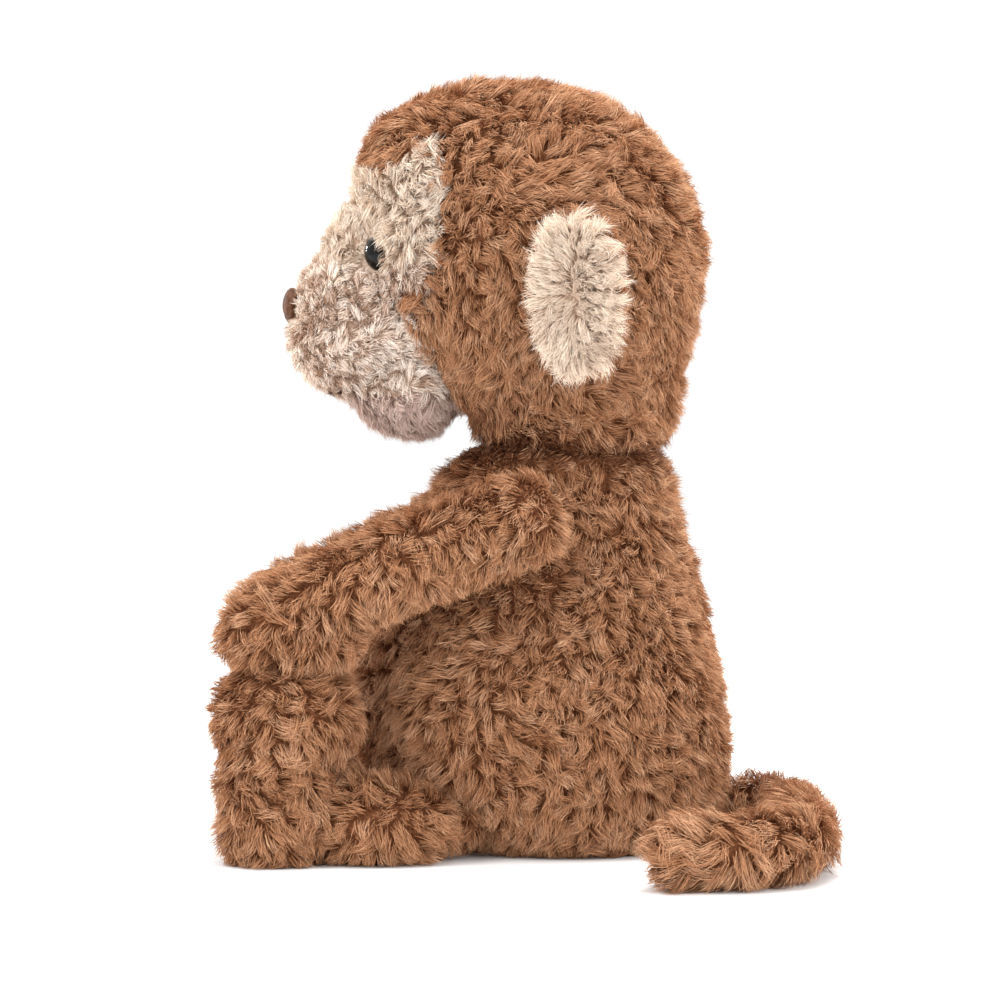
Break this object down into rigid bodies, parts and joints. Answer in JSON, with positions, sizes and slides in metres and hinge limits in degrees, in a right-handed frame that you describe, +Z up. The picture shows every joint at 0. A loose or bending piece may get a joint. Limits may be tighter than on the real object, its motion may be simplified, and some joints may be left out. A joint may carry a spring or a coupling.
{
  "type": "stuffed monkey",
  "caption": "Seated plush monkey with tumbled brown pile, a pale face and ears, its hands on its feet and a curled tail.",
  "frame": {"origin": "the middle of the flat seat under the torso, on the surface that the toy sits on", "axes": "+Z up, -Y the way the face looks, +X the toy's own left side, where its tail curls"},
  "size_m": [0.1457, 0.1519, 0.1918],
  "materials": {
    "brown_plush": "tumbled caramel-brown pile fabric, about 8 mm pile",
    "cream_plush": "short cream and beige pile fabric",
    "pale_muzzle_plush": "short mottled mauve-beige pile fabric",
    "fibre_fill": "loose white polyester fibre",
    "bag_cloth": "plain woven polycotton",
    "brown_thread": "strong bonded nylon thread",
    "nose_cloth": "satin stitched brown thread over a pad",
    "eye_plastic": "polished black",
    "washer_plastic": "natural nylon",
    "pellet_plastic": "translucent white beads"
  },
  "bodies": {
    "torso": {"torso_front_panel": "brown_plush", "torso_back_panel": "brown_plush", "torso_stuffing": "fibre_fill", "seat_pellet_bag": "bag_cloth", "seat_pellets": "pellet_plastic", "left_shoulder_seam_thread": "brown_thread", "left_hip_seam_thread": "brown_thread", "right_shoulder_seam_thread": "brown_thread", "right_hip_seam_thread": "brown_thread"},
    "neck": {"neck_seam_thread": "brown_thread"},
    "head": {"head_back_panel": "brown_plush", "head_front_panel": "brown_plush", "brow_panel": "cream_plush", "muzzle_panel": "pale_muzzle_plush", "chin_panel": "pale_muzzle_plush", "head_stuffing": "fibre_fill", "nose": "nose_cloth", "mouth_stitch": "brown_thread", "left_eye": "eye_plastic", "left_eye_washer": "washer_plastic", "right_eye": "eye_plastic", "right_eye_washer": "washer_plastic"},
    "tail_root": {"tail_seam_thread": "brown_thread"},
    "tail": {"tail_cover": "brown_plush", "tail_stuffing": "fibre_fill"},
    "left_ear": {"left_ear_front_layer": "cream_plush", "left_ear_back_layer": "brown_plush"},
    "left_arm": {"left_arm_cover": "brown_plush", "left_arm_stuffing": "fibre_fill"},
    "left_leg": {"left_leg_cover": "brown_plush", "left_leg_stuffing": "fibre_fill", "left_foot_pellet_bag": "bag_cloth", "left_foot_pellets": "pellet_plastic"},
    "right_ear": {"right_ear_front_layer": "cream_plush", "right_ear_back_layer": "brown_plush"},
    "right_arm": {"right_arm_cover": "brown_plush", "right_arm_stuffing": "fibre_fill"},
    "right_leg": {"right_leg_cover": "brown_plush", "right_leg_stuffing": "fibre_fill", "right_foot_pellet_bag": "bag_cloth", "right_foot_pellets": "pellet_plastic"}
  },
  "joints": [
    {"name": "neck_turn", "type": "hinge", "parent": "torso", "child": "neck", "pos_m": [0, -0.0045, 0.115], "axis": [0, 0, 1], "range_deg": [-45, 45]},
    {"name": "head_nod", "type": "hinge", "parent": "neck", "child": "head", "pos_m": [0, -0.0045, 0.115], "axis": [1, 0, 0], "range_deg": [-18, 6]},
    {"name": "tail_swing", "type": "hinge", "parent": "torso", "child": "tail_root", "pos_m": [0, 0.037, 0.0107], "axis": [0, 0, 1], "range_deg": [0, 24]},
    {"name": "tail_lift", "type": "hinge", "parent": "tail_root", "child": "tail", "pos_m": [0, 0.037, 0.0107], "axis": [1, 0, 0], "range_deg": [0, 22]},
    {"name": "left_shoulder_swing", "type": "hinge", "parent": "torso", "child": "left_arm", "pos_m": [0.0426, -0.007, 0.087], "axis": [0.9063, 0, -0.4226], "range_deg": [-90, 0]},
    {"name": "left_hip_swing", "type": "hinge", "parent": "torso", "child": "left_leg", "pos_m": [0.027, -0.031, 0.0084], "axis": [1, 0, 0], "range_deg": [0, 90]},
    {"name": "left_ear_fold", "type": "hinge", "parent": "head", "child": "left_ear", "pos_m": [0.0444, -0.015, 0.137], "axis": [0.2079, 0, 0.9781], "range_deg": [-40, 20]},
    {"name": "right_shoulder_swing", "type": "hinge", "parent": "torso", "child": "right_arm", "pos_m": [-0.0426, -0.007, 0.087], "axis": [-0.9063, 0, -0.4226], "range_deg": [0, 90]},
    {"name": "right_hip_swing", "type": "hinge", "parent": "torso", "child": "right_leg", "pos_m": [-0.027, -0.031, 0.0084], "axis": [1, 0, 0], "range_deg": [0, 90]},
    {"name": "right_ear_fold", "type": "hinge", "parent": "head", "child": "right_ear", "pos_m": [-0.0444, -0.015, 0.137], "axis": [0.2079, 0, -0.9781], "range_deg": [-40, 20]}
  ]
}
